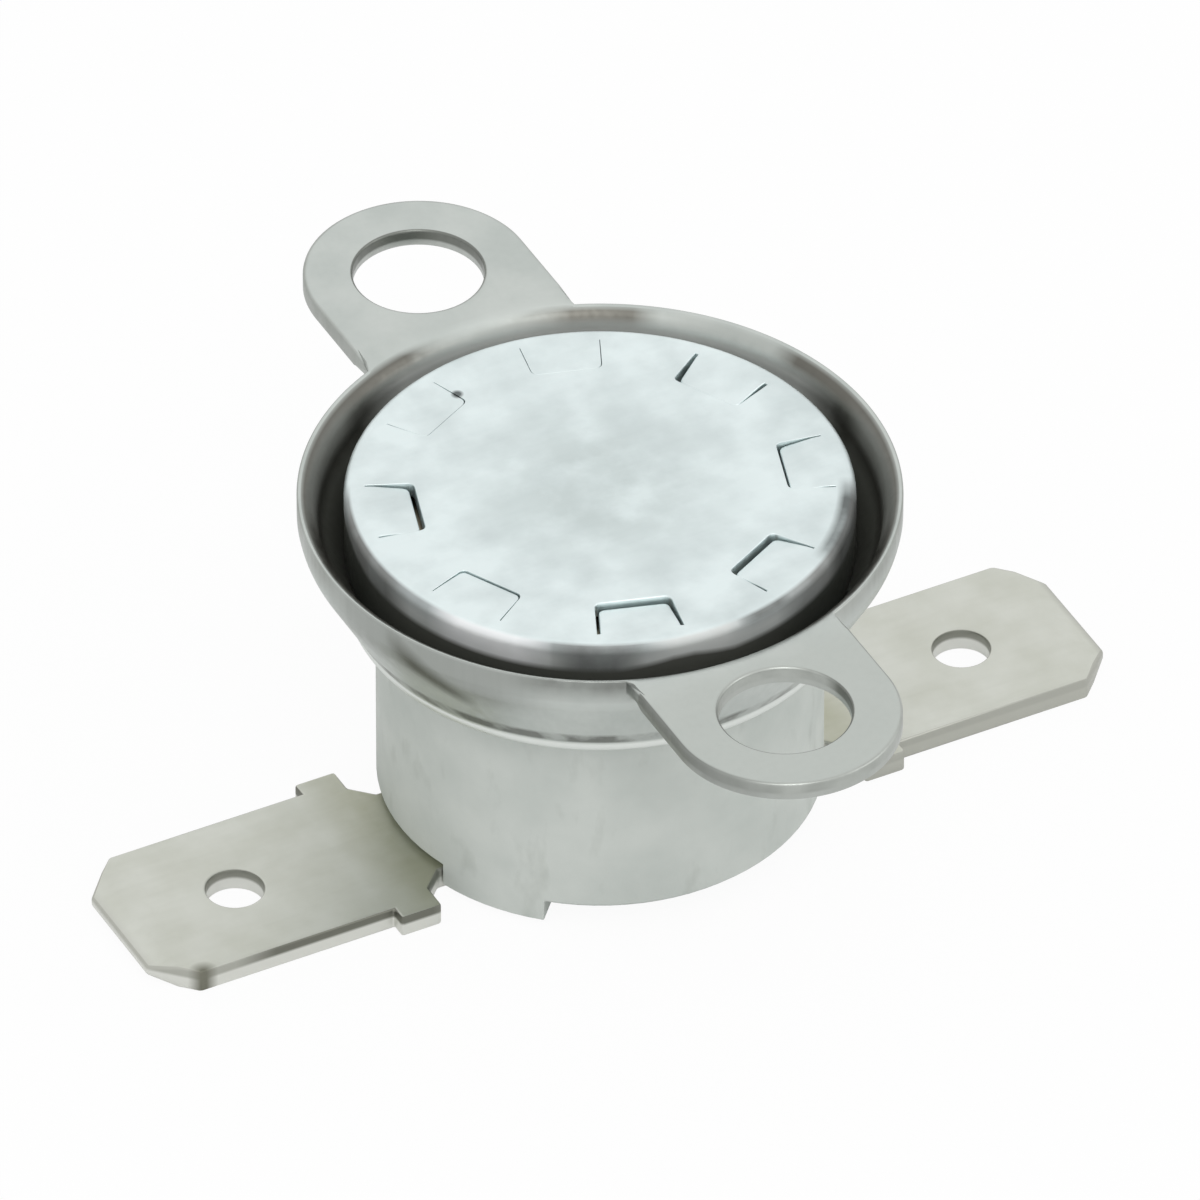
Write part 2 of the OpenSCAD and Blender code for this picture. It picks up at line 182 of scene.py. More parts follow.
def rolled_edge(radius, top):
    """The inset and the height of each ring of a quarter-round edge, from the flat face to the wall."""
    # How far the two points between the ends of an arc in three steps lie off the face and the wall
    far, near = radius * 0.5, radius * 0.13
    return [
        (radius + FLAT_STRIP, top), (radius, top), (far, top - near), (near, top - far), (0, top - radius),
    ]


# Pieces from points and faces
class Shape:
    """Points in millimetres and the faces between them."""

    def __init__(self):
        self.points = []
        self.faces = []

    def add(self, points):
        first = len(self.points)
        self.points.extend(tuple(p) for p in points)
        return list(range(first, len(self.points)))

    def bridge(self, a, b, closed=True):
        """Quads between two loops or lines of the same number of points."""
        count = len(a)
        for i in range(count if closed else count - 1):
            j = (i + 1) % count
            self.faces.append((a[i], a[j], b[j], b[i]))

    def fill(self, outline, holes):
        """Closes a level outline with triangles, leaving its holes open."""
        loops = (outline, *holes)
        flat = [i for loop in loops for i in loop]
        corners = [[Vector((*self.points[i][:2], 0)) for i in loop] for loop in loops]
        self.faces.extend(tuple(flat[k] for k in face) for face in tessellate_polygon(corners))

    def build(self, name):
        mesh = bpy.data.meshes.new(name)
        mesh.from_pydata([Vector(p) * MM for p in self.points], [], self.faces)
        return finished(bpy.data.objects.new(name, mesh))


def finished(piece):
    """Welds a piece, turns its faces outwards and shades it smooth between its sharp edges."""
    weld, shortest_edge = 0.0005, 0.0002
    sharp_angle = math.radians(40)
    bpy.context.scene.collection.objects.link(piece)
    work = bmesh.new()
    work.from_mesh(piece.data)
    bmesh.ops.remove_doubles(work, verts=work.verts, dist=weld * MM)
    bmesh.ops.dissolve_degenerate(work, edges=work.edges, dist=shortest_edge * MM)
    bmesh.ops.recalc_face_normals(work, faces=work.faces)
    for face in work.faces:
        face.smooth = True
    work.to_mesh(piece.data)
    work.free()
    piece.data.set_sharp_from_angle(angle=sharp_angle)
    weighted = piece.modifiers.new("weighted normals", "WEIGHTED_NORMAL")
    weighted.keep_sharp = True
    weighted.weight = 80
    return piece


def softened(node, name, width):
    """A copy of a CAD node's mesh with its sharp edges rounded."""
    weld = 0.001
    flat_angle, edge_angle = math.radians(0.5), math.radians(28)
    piece = bpy.data.objects.new(name, frame["nodes"][node].data.copy())
    piece.data.materials.clear()
    if piece.data.has_custom_normals:
        piece.data.attributes.remove(piece.data.attributes["custom_normal"])
    work = bmesh.new()
    work.from_mesh(piece.data)
    bmesh.ops.remove_doubles(work, verts=work.verts, dist=weld * MM)
    bmesh.ops.dissolve_limit(work, angle_limit=flat_angle, verts=work.verts, edges=work.edges)
    edges = [e for e in work.edges if len(e.link_faces) == 2 and e.calc_face_angle(0) > edge_angle]
    bmesh.ops.bevel(
        work, geom=edges, offset=width * MM, segments=2, profile=0.5, affect="EDGES", clamp_overlap=True,
    )
    work.to_mesh(piece.data)
    work.free()
    return finished(piece)


# Sensing cap
def cap_profile():
    """The cap's section, from the face's edge over the wall and the crimp to the face's underside."""
    corner_z = CRIMP_INNER_Z - CAP_SHEET * math.tan(CRIMP_ANGLE / 2)
    skin = CAP_SHEET / math.cos(CRIMP_ANGLE)
    edge_r = CAP_R - CAP_EDGE_R
    bore_r = CAP_R - CAP_SHEET
    inner = CAP_INNER_EDGE_R
    wall = [
        (CAP_R, -CAP_EDGE_R, 0),
        (CAP_R, corner_z, CRIMP_BEND_R),
        (CRIMP_END_R + skin, CRIMP_END_Z, CRIMP_EDGE_R),
        (CRIMP_END_R, CRIMP_END_Z, CRIMP_EDGE_R),
        (bore_r, CRIMP_INNER_Z, CRIMP_INNER_BEND_R),
        (bore_r, -CAP_SHEET - inner, 0),
    ]
    return (
        [(edge_r - FLAT_STRIP, 0)]
        + arc(edge_r, -CAP_EDGE_R, CAP_EDGE_R, 90, 0, 10)[:-1]
        + rounded(wall, 5)
        + arc(bore_r - inner, -CAP_SHEET - inner, inner, 0, 90, 3)[1:]
    )


def lance_slot(hinge, rows, width, side_width):
    """The U-shaped slot round one tongue, as (u, v) points.

    Gives its outer side, its tongue side and how many points of that are the tongue's tip.
    """

    def inner_end(near, half_w, tip_half_w):
        """The rounded inner end of a tapered strip that starts at the hinge."""
        corners = [(hinge, -half_w, 0), (hinge, half_w, 0)]
        corners += [(near, tip_half_w, LANCE_CORNER_R), (near, -tip_half_w, LANCE_CORNER_R)]
        return rounded(corners)[2:]

    wide = LANCE_HALF_W + side_width
    around = inner_end(LANCE_IN_R - width, wide, LANCE_TIP_HALF_W + side_width)
    outer = [(hinge, wide)] + around + [(hinge, -wide)]
    tip = inner_end(LANCE_IN_R, LANCE_HALF_W, LANCE_TIP_HALF_W)
    slope = (LANCE_HALF_W - LANCE_TIP_HALF_W) / (hinge - LANCE_IN_R)
    sides = [(u, LANCE_HALF_W - slope * (hinge - u)) for u in rows]
    inner = sides + tip + [(u, -v) for u, v in reversed(sides)]
    return outer, list(reversed(inner)), len(tip)


def lowered(u, bend_start, depth):
    """How far a tongue lies below the face at u, when its inner end is pressed down by depth."""
    share = min(max((bend_start - u) / (bend_start - LANCE_IN_R), 0), 1)
    half_bend = LANCE_BEND / 2
    bent = share * share / (2 * LANCE_BEND) if share < LANCE_BEND else share - half_bend
    return depth * bent / (1 - half_bend)


def lance(shape, turn, depth, width, side_width):
    """Shears and presses one tongue. Gives the outlines that it takes out of the face and the underside."""
    row_count, last_row_off_tip = 8, 0.3
    roll = min(width, side_width * LANCE_SIDE_LIMIT) * LANCE_ROLL
    hinge = LANCE_OUT_R - roll
    bend_start = hinge - FLAT_STRIP
    row_reach = bend_start - LANCE_IN_R - last_row_off_tip
    rows = [hinge] + [bend_start - row_reach * k / row_count for k in range(row_count + 1)]
    outer, inner, tip_count = lance_slot(hinge, rows, width, side_width)
    tongue_start = len(outer)
    side = len(rows)
    loops = []
    for growth, z in rolled_edge(roll, 0) + [(0, -CAP_SHEET)]:
        placed = []
        for i, (u, v) in enumerate(grown(outer + inner, growth)):
            drop = lowered(u, bend_start, depth) if i >= tongue_start else 0
            x = u * math.cos(turn) - v * math.sin(turn)
            y = u * math.sin(turn) + v * math.cos(turn)
            placed.append((x, y, z - drop))
        loops.append(shape.add(placed))
    for a, b in zip(loops, loops[1:]):
        shape.bridge(a, b)
    windows = []
    for loop in (loops[0], loops[-1]):
        tongue = loop[tongue_start:]
        shape.bridge(tongue[:side], tongue[::-1][:side], closed=False)
        shape.faces.append(tuple(tongue[side - 1:side + tip_count + 1]))
        windows.append(loop[:tongue_start] + [tongue[0], tongue[-1]])
    return windows


def sensing_cap():
    """The cap: one sheet with eight tongues that are sheared free and pressed down at their inner ends."""
    shape = Shape()
    steps = 288
    turns = [2 * math.pi * i / steps for i in range(steps)]
    rings = [
        shape.add((r * math.cos(t), r * math.sin(t), z) for t in turns) for r, z in cap_profile()
    ]
    for a, b in zip(rings, rings[1:]):
        shape.bridge(a, b)
    windows = []
    for number, (depth, width, side_width) in enumerate(LANCES):
        turn = LANCE_TURN + 2 * math.pi * number / len(LANCES)
        windows.append(lance(shape, turn, depth, width, side_width))
    shape.fill(rings[0], [window[0] for window in windows])
    shape.fill(rings[-1], [window[1] for window in windows])
    return shape.build("cap_sheet")


# Mounting bracket
def beaded_foot():
    """The outer section of the foot: the crease above the bead, the bead and the lower edge."""
    foot = Vector((FOOT_IN_R + BRACKET_SHEET / math.cos(TAPER), FOOT_Z))
    along = Vector((math.sin(TAPER), math.cos(TAPER)))
    out = Vector((math.cos(TAPER), -math.sin(TAPER)))
    bead = foot + Vector((-BEAD_R / 4, BEAD_R))
    offset = (foot - bead).dot(out) + CREASE_R
    crease = bead + out * offset + along * math.sqrt((BEAD_R + CREASE_R) ** 2 - offset ** 2)
    start = math.degrees(math.atan2(crease.y - bead.y, crease.x - bead.x))
    return (
        arc(crease.x, crease.y, CREASE_R, 180 - math.degrees(TAPER), 180 + start, 5)
        + arc(bead.x, bead.y, BEAD_R, start, -90, 12)[1:]
        + [(FOOT_IN_R + FOOT_CHAMFER, FOOT_Z)]
    )


def cup_sides():
    """The cup's inner and outer section, from the foot up to where the mouth starts to turn outwards."""
    inner_r = CUP_BEND_R - BRACKET_SHEET
    taper, sway = math.degrees(TAPER), math.degrees(SWAY)
    inner = [(FOOT_IN_R, FOOT_Z + FOOT_CHAMFER)] + arc(BEND_X, LIP_BOTTOM_Z, inner_r, -taper, -sway, 6)[:-1]
    outer = arc(BEND_X, LIP_BOTTOM_Z, CUP_BEND_R, -sway, -taper, 9) + beaded_foot()
    return inner, outer


def mouth_sections():
    """The turned-out mouth above the cup's sides: where it is trimmed flush, and where an ear leaves it.

    Both give the top from the inside outwards and the underside back to the wall, point for point.
    """
    burr, wall_rows = 0.06, 6
    start = 180 - math.degrees(SWAY)
    trim = math.degrees(math.acos((MOUTH_OUT_R - burr - ROOT_R) / ROOT_BEND))
    under = math.degrees(math.acos((MOUTH_OUT_R - ROOT_R) / EAR_BEND_R))
    shoulder = arc(ROOT_R, ROOT_Z, ROOT_BEND, start, trim, 10)
    top_z = shoulder[-1][1]
    under_z = ROOT_Z + EAR_BEND_R * math.sin(math.radians(under))
    joint = arc(ROOT_R, ROOT_Z, EAR_BEND_R, under, start, 3)
    corner = arc(MOUTH_OUT_R - burr, top_z - burr, burr, 75, 0, 5)
    wall = [
        (MOUTH_OUT_R, top_z - burr + (under_z - top_z + burr) * k / wall_rows) for k in range(wall_rows + 1)
    ]
    trimmed = shoulder + corner, wall[1:-1] + joint[:-1]
    brim = arc(ROOT_R, ROOT_Z, ROOT_BEND, trim, 90, 5)[1:] + [(ROOT_R + FLAT_STRIP, MOUTH_TOP_Z)]
    underside = arc(ROOT_R, ROOT_Z, EAR_BEND_R, 90, under, 5)
    bent = shoulder + brim, underside[:-1] + joint[:-1]
    return trimmed, bent


def cup_columns(shape):
    """Pairs of lines of points, all the way round: up the inside of the cup, and down its outside.

    With each pair goes the side of the ear that it runs into, 1 or -1, or 0 where the mouth is trimmed.
    """
    ear_steps, wall_steps = 40, 120
    inner, outer = cup_sides()
    trimmed, bent = mouth_sections()
    columns = []

    def column(angle_at, mouth, ear_side):
        lines = []
        for section in (inner + mouth[0], mouth[1] + outer):
            turned = [(r, angle_at(r), z) for r, z in section]
            lines.append(shape.add((r * math.sin(t), r * math.cos(t), z) for r, t, z in turned))
        columns.append((*lines, ear_side))

    for side in (1, -1):
        quarter = 0 if side == 1 else math.pi
        for k in range(ear_steps + 1):
            offset = (EAR_HALF_W - EAR_ROLL) * (2 * k / ear_steps - 1)
            column(lambda r: quarter + math.asin(offset / r), bent, side)
        for k in range(wall_steps + 1):
            share = 2 * k / wall_steps - 1
            column(lambda r: quarter + math.pi / 2 + math.acos(EAR_HALF_W / r) * share, trimmed, 0)
    return columns


def ear(shape, columns, side):
    """One ear with its hole, joined to the columns of the cup that run into it."""
    edge_rows, tip_steps, hole_steps = 6, 60, 72
    bottom = MOUTH_TOP_Z - BRACKET_SHEET
    mid_burr = EAR_BURR * 0.3
    levels = rolled_edge(EAR_ROLL, MOUTH_TOP_Z)
    levels += [(0, bottom + EAR_BURR), (mid_burr, bottom + mid_burr), (EAR_BURR, bottom)]
    root_y = math.sqrt((ROOT_R + FLAT_STRIP) ** 2 - EAR_HALF_W ** 2)
    edge = [(EAR_HALF_W, root_y + (EAR_Y - root_y) * k / edge_rows) for k in range(edge_rows)]
    outline = edge + arc(0, EAR_Y, EAR_HALF_W, 0, 180, tip_steps) + [(-x, y) for x, y in reversed(edge)]
    hole = arc(0, EAR_Y, EAR_HOLE_R, 0, 360, hole_steps)[:-1]
    rings, holes = [], []
    for inset, z in levels:
        rings.append(shape.add((x * side, y * side, z) for x, y in grown(outline, -inset)[1:-1]))
        holes.append(shape.add((x * side, y * side, z) for x, y in grown(hole, inset)))
    for a, b in zip(rings, rings[1:]):
        shape.bridge(a, b, closed=False)
    for a, b in zip(holes, holes[1:]):
        shape.bridge(a, b)
    numbers = [number for number, column in enumerate(columns) if column[2] == side]
    shape.fill([columns[n][0][-1] for n in numbers] + rings[0], [holes[0]])
    shape.fill([columns[n][1][0] for n in numbers] + rings[-1], [holes[-1]])
    for number, end, step in ((numbers[0], -1, -1), (numbers[-1], 0, 1)):
        last_in, last_out, _ = columns[number]
        beyond_in, beyond_out, _ = columns[(number + step) % len(columns)]
        fan = [last_in[-1]] + [ring[end] for ring in rings] + [last_out[0], beyond_out[0]]
        for a, b in zip(fan, fan[1:]):
            shape.faces.append((a, b, beyond_in[-1]))


def mounting_bracket():
    """The drawn cup with its two ears, as one sheet."""
    shape = Shape()
    columns = cup_columns(shape)
    for i, (left_in, left_out, left_ear) in enumerate(columns):
        right_in, right_out, right_ear = columns[(i + 1) % len(columns)]
        shape.bridge(left_in, right_in, closed=False)
        shape.bridge(left_out, right_out, closed=False)
        shape.faces.append((left_in[0], left_out[-1], right_out[-1], right_in[0]))
        if not left_ear and not right_ear:
            shape.faces.append((left_in[-1], left_out[0], right_out[0], right_in[-1]))
    for side in (1, -1):
        ear(shape, columns, side)
    return shape.build("bracket_sheet")


# Nodes of the materials
# Moves the part off the origin of the noise, where all its layers meet in a star
OFF_LATTICE = (0.137, 0.261, 0.319)
# Sockets of a Mix node that mixes colours
MIX_SHARE, MIX_A, MIX_B, MIX_RESULT = 0, 6, 7, 2


def tone(red, green, blue):
    """An 8-bit screen colour as the linear colour that the shaders take."""
    return tuple(
        c / 12.92 if c <= 0.04045 else ((c + 0.055) / 1.055) ** 2.4
        for c in (red / 255, green / 255, blue / 255)
    ) + (1.0,)


class Graph:
    """A node material with a Principled shader, and short ways to add its nodes."""

    def __init__(self, name, colour, metallic, roughness, specular=0.5):
        self.material = bpy.data.materials.new(name)
        self.material.use_nodes = True
        self.tree = self.material.node_tree
        self.shader = self.tree.nodes["Principled BSDF"]
        self.colour = colour
        self.metallic = metallic
        self.shader.inputs["Base Color"].default_value = colour
        self.shader.inputs["Metallic"].default_value = metallic
        self.shader.inputs["Roughness"].default_value = roughness
        self.shader.inputs["Specular IOR Level"].default_value = specular
        coordinates = self.add("ShaderNodeTexCoord")
        self.place = coordinates.outputs["Object"]
        self.facing = coordinates.outputs["Normal"]

    def add(self, kind, **inputs):
        node = self.tree.nodes.new(kind)
        for name, value in inputs.items():
            self.feed(node.inputs[name], value)
        return node

    def feed(self, socket, value):
        if isinstance(value, bpy.types.NodeSocket):
            self.tree.links.new(value, socket)
        else:
            socket.default_value = value

    def grain(self, size, stretch=(1, 1, 1), detail=4.0):
        """Noise whose features are about size millimetres across."""
        mapping = self.add("ShaderNodeMapping", Vector=self.place, Location=OFF_LATTICE, Scale=stretch)
        place = mapping.outputs["Vector"]
        noise = self.add("ShaderNodeTexNoise", Vector=place, Scale=1 / (size * MM), Detail=detail)
        return noise.outputs["Fac"]

    def ramp(self, value, low, high, start=0.0, end=1.0):
        """Maps value from low..high to start..end, without going past them."""
        limits = {"From Min": low, "From Max": high, "To Min": start, "To Max": end}
        return self.add("ShaderNodeMapRange", Value=value, **limits).outputs["Result"]

    def over(self, value, span, start=0.0, end=1.0):
        """A ramp for a value in metres, over a span of two places in millimetres."""
        return self.ramp(value, span[0] * MM, span[1] * MM, start, end)

    def maths(self, kind, a, b=0):
        node = self.add("ShaderNodeMath")
        node.operation = kind
        self.feed(node.inputs[0], a)
        self.feed(node.inputs[1], b)
        return node.outputs["Value"]

    def times(self, share, *others):
        """The product of all that it is given."""
        for other in others:
            share = self.maths("MULTIPLY", share, other)
        return share

    def either(self, a, b):
        """The larger of two shares."""
        return self.maths("MAXIMUM", a, b)

    def unsigned(self, value):
        """A value without its sign."""
        return self.maths("ABSOLUTE", value)

    def vector_maths(self, kind, a, b=(0, 0, 0), output="Vector"):
        node = self.add("ShaderNodeVectorMath")
        node.operation = kind
        self.feed(node.inputs[0], a)
        self.feed(node.inputs[1], b)
        return node.outputs[output]

    def axis(self, name):
        """One object coordinate, in metres."""
        return self.add("ShaderNodeSeparateXYZ", Vector=self.place).outputs[name]

    def level_place(self):
        """The object coordinates without their Z part."""
        return self.vector_maths("MULTIPLY", self.place, (1, 1, 0))

    def reach(self):
        """Distance from the part's axis, in metres."""
        return self.vector_maths("LENGTH", self.level_place(), output="Value")

    def turn(self):
        """The angle round the part's axis, in degrees."""
        return self.times(self.maths("ARCTAN2", self.axis("Y"), self.axis("X")), 180 / math.pi)

    def beside(self, zone):
        """1 within a zone round the part's axis: its angle, its half width and its fade, in degrees."""
        angle, half, soft = zone
        towards = (math.cos(math.radians(angle)), math.sin(math.radians(angle)), 0)
        out = self.vector_maths("NORMALIZE", self.level_place())
        along = self.vector_maths("DOT_PRODUCT", out, towards, "Value")
        return self.ramp(along, math.cos(math.radians(half + soft)), math.cos(math.radians(half)))

    def spot(self, x, y, half, soft):
        """1 within half millimetres of an upright line at (x, y), fading over the next soft millimetres."""
        away = self.vector_maths("DISTANCE", self.level_place(), (x * MM, y * MM, 0), "Value")
        return self.over(away, (half + soft, half))

    def above(self, z, soft):
        """1 above the height z, fading within soft of it, in millimetres."""
        return self.over(self.axis("Z"), (z - soft, z + soft))

    def levelness(self):
        """1 where the surface is level, 0 where it is upright."""
        return self.unsigned(self.add("ShaderNodeSeparateXYZ", Vector=self.facing).outputs["Z"])

    def inward(self):
        """1 where the surface faces the part's axis, -1 where it faces away from it."""
        out = self.vector_maths("NORMALIZE", self.level_place())
        return self.times(self.vector_maths("DOT_PRODUCT", self.facing, out, "Value"), -1)

    def blend(self, share, a, b):
        node = self.add("ShaderNodeMix")
        node.data_type = "RGBA"
        node.clamp_factor = True
        for index, value in ((MIX_SHARE, share), (MIX_A, a), (MIX_B, b)):
            self.feed(node.inputs[index], value)
        return node.outputs[MIX_RESULT]

    def paint(self, share, colour, metallic=1.0):
        """Covers the colour so far with another one, by share, and hands it to the shader."""
        self.colour = self.blend(share, self.colour, colour)
        self.feed(self.shader.inputs["Base Color"], self.colour)
        if self.metallic != metallic:
            self.metallic = self.ramp(share, 0.0, 1.0, self.metallic, metallic)
            self.feed(self.shader.inputs["Metallic"], self.metallic)

    def bump(self, *layers):
        """Bumps of (height, strength, depth in millimetres), one on the other."""
        normal = None
        for value, strength, depth in layers:
            node = self.add("ShaderNodeBump", Height=value, Strength=strength, Distance=depth * MM)
            if normal:
                self.feed(node.inputs["Normal"], normal)
            normal = node.outputs["Normal"]
        self.feed(self.shader.inputs["Normal"], normal)


# Materials
MATERIALS = {}
# The directions in which the sheets were rolled and drawn, as the scale of their grain along each axis
ROLLED_ALONG_X = (0.12, 1, 1)
DRAWN_UPRIGHT = (1, 1, 0.1)
# Levelness where a face starts to count as a sheared edge, and where it fully does
EDGE_TILT = (0.97, 0.9)


def metal(name, light, dark, roughness, rolled, wave=0.02):
    """Plated or bare sheet: mottled colour, uneven gloss, fine grain and a faint waviness."""
    graph = Graph(name, light, 1.0, roughness)
    mottle = graph.grain(1.6, detail=5.0)
    streaks = graph.grain(0.25, stretch=rolled)
    graph.paint(graph.ramp(mottle, 0.35, 0.7), dark)
    gloss = graph.ramp(streaks, 0.3, 0.7, roughness - 0.06, roughness + 0.07)
    graph.feed(graph.shader.inputs["Roughness"], gloss)
    waves = graph.grain(2.4, detail=2.0)
    graph.bump((waves, 0.35, wave), (streaks, 0.25, 0.006), (graph.grain(0.08), 0.2, 0.002))
    return graph


# Painted shade, reflections and highlights on the cap. Zones round the axis: angle, half width and fade, in
# degrees
EDGE_REFLECTION_SIDE = (244, 86, 7)
DARK_EDGE_SIDE = (320, 8, 8)
DARK_LINE_SIDE = (283, 4, 4)
PALE_GROOVE_SHADE_SIDE = (235, 40, 20)
LOW_GROOVE_SHADE_SIDES = ((213, 34, 12), (300, 26, 10))
# Painted highlights and darker painted reflections in the edge's band, each a zone and its tone
REFLECTION_PATCHES = (
    ((174, 12, 9), tone(126, 128, 126)),
    ((216, 7, 9), tone(248, 250, 251)),
    ((242, 4, 7), tone(126, 129, 128)),
    ((266, 6, 7), tone(214, 217, 215)),
    ((302, 7, 9), tone(142, 144, 142)),
    ((320, 8, 7), tone(90, 92, 90)),
)
# Radii and heights over which a mark grows from nothing to full, in millimetres
CLOUDED_R = (5.2, 1.5)
DARK_EDGE_R = (7.3, 7.55)
EDGE_REFLECTION_R = (7.45, 7.5)
EDGE_REFLECTION_Z = (-0.02, -0.08)
PALER_REFLECTION_Z = (-0.15, -0.6)
DARK_LINE_Z = (-0.3, -0.15)
GROOVE_SHADE_Z = (-0.55, -0.78)
GROOVE_SHADE_DROP = 0.25
# A small dark spot of painted shade beside a tongue: its place, half width and fade
DARK_SPOT = (-1.81, 6.07, 0.1, 0.12)


def cap_metal():
    """Rolled aluminium, with a matte grey band of painted dark reflection and highlights on one side of the
    edge, and painted shade down in the groove.
    """
    graph = metal("cap_aluminium", tone(228, 238, 238), tone(209, 219, 219), 0.42, ROLLED_ALONG_X, 0.03)
    height = graph.axis("Z")
    cloud = graph.ramp(graph.grain(1.4, detail=5.0), 0.35, 0.6, 0.25, 0.9)
    graph.paint(graph.times(graph.over(graph.reach(), CLOUDED_R), cloud), tone(199, 209, 208))
    patches = graph.ramp(graph.grain(1.1), 0.38, 0.62)
    # Painted dark reflection: darker patches at the face's edge on one side
    dark_edge = graph.times(graph.over(graph.reach(), DARK_EDGE_R), graph.beside(DARK_EDGE_SIDE))
    graph.paint(graph.times(dark_edge, graph.ramp(patches, 0, 1, 0.75, 1.0)), tone(112, 117, 116))

    # The band of painted reflection on the edge: paler lower down as painted light, with painted highlights
    # and darker patches by zone
    shade = graph.blend(graph.over(height, PALER_REFLECTION_Z), tone(160, 166, 166), tone(200, 204, 202))
    for zone, colour in REFLECTION_PATCHES:
        shade = graph.blend(graph.beside(zone), shade, colour)
    # A darker line of painted reflection along the edge's rounding on one side
    dark_line = graph.times(graph.beside(DARK_LINE_SIDE), graph.over(height, DARK_LINE_Z))
    shade = graph.blend(dark_line, shade, tone(112, 115, 113))
    edge = graph.times(graph.over(height, EDGE_REFLECTION_Z), graph.over(graph.reach(), EDGE_REFLECTION_R))
    painted_reflection = graph.times(edge, graph.beside(EDGE_REFLECTION_SIDE), graph.ramp(patches, 0, 1, 0.85, 1.0))
    graph.paint(painted_reflection, shade, metallic=0.1)

    # Painted shade down in the groove between the cap and the bracket, paler on one side and reaching lower
    # on two
    groove_shade = graph.blend(graph.beside(PALE_GROOVE_SHADE_SIDE), tone(80, 83, 78), tone(104, 106, 100))
    low = graph.either(*[graph.beside(zone) for zone in LOW_GROOVE_SHADE_SIDES])
    groove_shade_height = graph.maths("ADD", height, graph.ramp(low, 0.0, 1.0, 0.0, GROOVE_SHADE_DROP * MM))
    graph.paint(graph.over(groove_shade_height, GROOVE_SHADE_Z), groove_shade, metallic=0.4)
    # A small dark spot of painted shade beside a tongue
    graph.paint(graph.spot(*DARK_SPOT), tone(110, 116, 116))
    return graph.material


# Painted shade, light, reflections and highlights on the bracket. Zones round the axis: angle, half width
# and fade, in degrees
LIT_SHOULDER_SIDE = (38, 12, 6)
BRIGHTER_SHOULDER_SIDE = (86, 4, 14)
UNSHADED_INSIDE_SIDE = (62, 46, 18)
LIT_INSIDE_SIDE = (62, 44, 16)
LIT_WALL_SIDES = ((142, 14, 10), (340, 15, 10))
PALER_CUP_SIDE = (280, 15, 12)
DARKER_CUP_SIDE = (243, 9, 12)
DIM_CUP_SIDE = (206, 14, 14)
# Places over which a mark grows from nothing to full, in millimetres
SHADED_EAR_Y = (-9.0, -10.2)
EAR_EDGE_Y = (MOUTH_OUT_R + 0.02, MOUTH_OUT_R + 0.12)
FRONT_Y = (0.1, -0.1)
SHOULDER_Y = (9.2, 8.85)
SHADE_INSIDE_Z = (-1.15, -1.6)
LIT_INSIDE_Z = (-0.45, -0.8)
LIT_WALL_Z = (-1.25, -0.95)
CUP_SHADE_Z = (-1.1, -0.45)
DIM_CUP_Z = (-2.4, -1.4)
CREASE_SHADE_TOP_Z = (-3.15, -3.35)
CREASE_SHADE_FOOT_Z = (-3.78, -3.66)
BEAD_HIGHLIGHT_Z = (-3.72, -3.82)
# How far a face leans inwards where a mark starts, and where it is full
OUTSIDE_LEAN = (0.0, -0.3)
SHOULDER_LEAN = (0.42, 0.62)
WALL_LEAN = (0.6, 0.85)
DEEP_LEAN = (0.5, 0.9)
# The upper part of the ears' sheared edges, painted dark as shade: its depth and fade
EAR_EDGE_SHADE_DEPTH = 0.36
EAR_EDGE_SHADE_FADE = 0.04
# A slanting painted dark reflection on the cup: its zone, its angle at the face's height, the degrees that
# it turns for each millimetre down, and its fade in degrees
WEDGE_REFLECTION_SIDE = (207.5, 3, 7)
WEDGE_REFLECTION_TURN = -169.4
WEDGE_REFLECTION_SLANT = 12
WEDGE_REFLECTION_FADE = (8.5, 1.0)


def bracket_edges(graph):
    """The sheared edges of the ears, a little darker, with their upper zone painted dark as shade where the
    camera sees it: on the front ear and round the back ear's hole.
    """
    along = graph.axis("Y")
    on_ear = graph.over(graph.unsigned(along), EAR_EDGE_Y)
    sheared = graph.times(graph.ramp(graph.levelness(), *EDGE_TILT), on_ear)
    graph.paint(sheared, tone(186, 190, 186))
    # Painted shade on the upper zone of the sheared edges, on the front ear and round the back ear's hole
    upper = graph.above(MOUTH_TOP_Z - EAR_EDGE_SHADE_DEPTH, EAR_EDGE_SHADE_FADE)
    hole = graph.spot(0, EAR_Y, EAR_HOLE_R + 0.1, 0.2)
    edge_shade_zone = graph.either(graph.over(along, FRONT_Y), hole)
    graph.paint(graph.times(sheared, upper, edge_shade_zone), tone(122, 125, 120))


